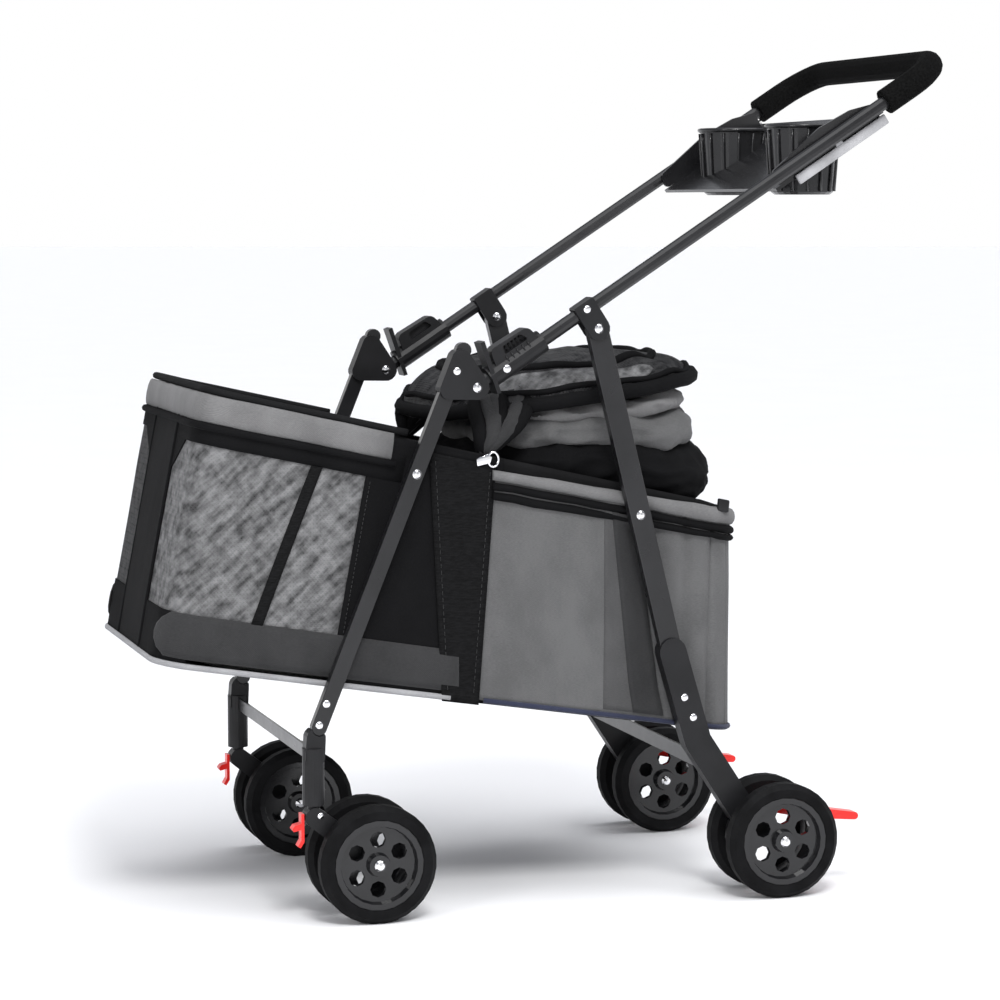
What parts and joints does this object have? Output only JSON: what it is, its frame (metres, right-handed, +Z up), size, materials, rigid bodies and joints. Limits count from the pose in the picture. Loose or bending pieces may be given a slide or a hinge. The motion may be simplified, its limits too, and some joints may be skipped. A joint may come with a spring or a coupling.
{
  "type": "pet stroller",
  "caption": "Folding pet stroller with a latched tube frame, twin wheels, a cup tray, and a fabric basket with its canopy folded down.",
  "frame": {"origin": "on the ground, in the middle of the overall box", "axes": "+X the way the stroller rolls forward, +Y its own left, +Z up"},
  "size_m": [0.9546, 0.5008, 0.9928],
  "materials": {
    "frame_tube": "satin black",
    "bracket_plastic": "matt black",
    "foam": "matt black",
    "tray_plastic": "satin black",
    "bumper_grey": "matt grey",
    "tyre_rubber": "matt black",
    "hub_plastic": "gloss black",
    "chrome": "polished",
    "red_plastic": "gloss red",
    "basket_fabric": "grey and black",
    "canopy_fabric": "grey and black",
    "pad_fabric": "dark grey"
  },
  "bodies": {
    "frame": {"side_rail_left": "frame_tube", "side_rail_right": "frame_tube", "front_bumper": "bumper_grey", "rail_cross_bar": "bumper_grey", "pet_basket": "basket_fabric", "floor_pad": "pad_fabric", "folded_canopy": "canopy_fabric"},
    "front_legs": {"front_cross_bar": "frame_tube", "front_leg_left": "frame_tube", "front_bracket_left": "bracket_plastic", "front_foot_left": "bracket_plastic", "leg_pivot_rivet_left": "chrome", "handle_pivot_rivet_left": "chrome", "front_leg_right": "frame_tube", "front_bracket_right": "bracket_plastic", "front_foot_right": "bracket_plastic", "leg_pivot_rivet_right": "chrome", "handle_pivot_rivet_right": "chrome"},
    "handle": {"handle_tube": "frame_tube", "handle_grip": "foam", "cup_tray": "tray_plastic", "rear_bracket_left": "bracket_plastic", "rear_leg_rivet_left": "chrome", "rear_bracket_right": "bracket_plastic", "rear_leg_rivet_right": "chrome"},
    "rear_legs": {"rear_cross_bar": "frame_tube", "rear_leg_left": "frame_tube", "rear_foot_left": "bracket_plastic", "rail_pivot_rivet_left": "chrome", "axle_rear_left": "chrome", "rear_leg_right": "frame_tube", "rear_foot_right": "bracket_plastic", "rail_pivot_rivet_right": "chrome", "axle_rear_right": "chrome"},
    "latch_slider_left_body": {"latch_slider_left": "bracket_plastic"},
    "brake_left": {"brake_pedal_left": "red_plastic"},
    "lock_left": {"swivel_lock_left": "red_plastic"},
    "caster_left": {"caster_fork_left": "bracket_plastic", "axle_front_left": "chrome"},
    "wheel_front_left_inner": {"tyre_front_left_inner": "tyre_rubber", "hub_front_left_inner": "hub_plastic"},
    "wheel_front_left_outer": {"tyre_front_left_outer": "tyre_rubber", "hub_front_left_outer": "hub_plastic"},
    "wheel_rear_left_inner": {"tyre_rear_left_inner": "tyre_rubber", "hub_rear_left_inner": "hub_plastic"},
    "wheel_rear_left_outer": {"tyre_rear_left_outer": "tyre_rubber", "hub_rear_left_outer": "hub_plastic"},
    "latch_slider_right_body": {"latch_slider_right": "bracket_plastic"},
    "brake_right": {"brake_pedal_right": "red_plastic"},
    "lock_right": {"swivel_lock_right": "red_plastic"},
    "caster_right": {"caster_fork_right": "bracket_plastic", "axle_front_right": "chrome"},
    "wheel_front_right_inner": {"tyre_front_right_inner": "tyre_rubber", "hub_front_right_inner": "hub_plastic"},
    "wheel_front_right_outer": {"tyre_front_right_outer": "tyre_rubber", "hub_front_right_outer": "hub_plastic"},
    "wheel_rear_right_inner": {"tyre_rear_right_inner": "tyre_rubber", "hub_rear_right_inner": "hub_plastic"},
    "wheel_rear_right_outer": {"tyre_rear_right_outer": "tyre_rubber", "hub_rear_right_outer": "hub_plastic"}
  },
  "joints": [
    {"name": "fold", "type": "hinge", "parent": "frame", "child": "front_legs", "pos_m": [0.183, 0, 0.507], "axis": [0, 1, 0], "range_deg": [0, 66], "deforming": ["pet_basket", "floor_pad"]},
    {"name": "handle_fold", "type": "hinge", "parent": "front_legs", "child": "handle", "pos_m": [0.113, 0, 0.604], "axis": [0, -1, 0], "range_deg": [0, 97]},
    {"name": "rear_leg_fold", "type": "hinge", "parent": "handle", "child": "rear_legs", "pos_m": [-0.032, 0, 0.669], "axis": [0, 1, 0], "range_deg": [0, 67]},
    {"name": "latch_slide_left", "type": "slide", "parent": "handle", "child": "latch_slider_left_body", "axis": [-0.8387, 0, 0.5446], "range_m": [0, 0.025]},
    {"name": "brake_tip_left", "type": "hinge", "parent": "rear_legs", "child": "brake_left", "pos_m": [-0.244, 0.2, 0.1055], "axis": [0, -1, 0], "range_deg": [0, 12]},
    {"name": "caster_swivel_left", "type": "hinge", "parent": "front_legs", "child": "caster_left", "pos_m": [0.304, 0.2, 0.06767], "axis": [0, 0, 1], "continuous": true},
    {"name": "swivel_lock_left", "type": "slide", "parent": "caster_left", "child": "lock_left", "axis": [0, 0, 1], "range_m": [0, 0.007]},
    {"name": "spin_front_left_inner", "type": "hinge", "parent": "caster_left", "child": "wheel_front_left_inner", "pos_m": [0.236, 0.1625, 0.06767], "axis": [0, 1, 0], "continuous": true},
    {"name": "spin_front_left_outer", "type": "hinge", "parent": "caster_left", "child": "wheel_front_left_outer", "pos_m": [0.236, 0.2245, 0.06767], "axis": [0, 1, 0], "continuous": true},
    {"name": "spin_rear_left_inner", "type": "hinge", "parent": "rear_legs", "child": "wheel_rear_left_inner", "pos_m": [-0.252, 0.172, 0.06767], "axis": [0, 1, 0], "continuous": true},
    {"name": "spin_rear_left_outer", "type": "hinge", "parent": "rear_legs", "child": "wheel_rear_left_outer", "pos_m": [-0.252, 0.234, 0.06767], "axis": [0, 1, 0], "continuous": true},
    {"name": "latch_slide_right", "type": "slide", "parent": "handle", "child": "latch_slider_right_body", "axis": [-0.8387, 0, 0.5446], "range_m": [0, 0.025]},
    {"name": "brake_tip_right", "type": "hinge", "parent": "rear_legs", "child": "brake_right", "pos_m": [-0.244, -0.2, 0.1055], "axis": [0, -1, 0], "range_deg": [0, 12]},
    {"name": "caster_swivel_right", "type": "hinge", "parent": "front_legs", "child": "caster_right", "pos_m": [0.304, -0.2, 0.06767], "axis": [0, 0, 1], "continuous": true},
    {"name": "swivel_lock_right", "type": "slide", "parent": "caster_right", "child": "lock_right", "axis": [0, 0, 1], "range_m": [0, 0.007]},
    {"name": "spin_front_right_inner", "type": "hinge", "parent": "caster_right", "child": "wheel_front_right_inner", "pos_m": [0.236, -0.1625, 0.06767], "axis": [0, 1, 0], "continuous": true},
    {"name": "spin_front_right_outer", "type": "hinge", "parent": "caster_right", "child": "wheel_front_right_outer", "pos_m": [0.236, -0.2245, 0.06767], "axis": [0, 1, 0], "continuous": true},
    {"name": "spin_rear_right_inner", "type": "hinge", "parent": "rear_legs", "child": "wheel_rear_right_inner", "pos_m": [-0.252, -0.172, 0.06767], "axis": [0, 1, 0], "continuous": true},
    {"name": "spin_rear_right_outer", "type": "hinge", "parent": "rear_legs", "child": "wheel_rear_right_outer", "pos_m": [-0.252, -0.234, 0.06767], "axis": [0, 1, 0], "continuous": true}
  ],
  "couplings": [
    {"joint": "handle_fold", "follows": "fold", "ratio": 1.4414},
    {"joint": "rear_leg_fold", "follows": "fold", "ratio": 0.98684}
  ]
}
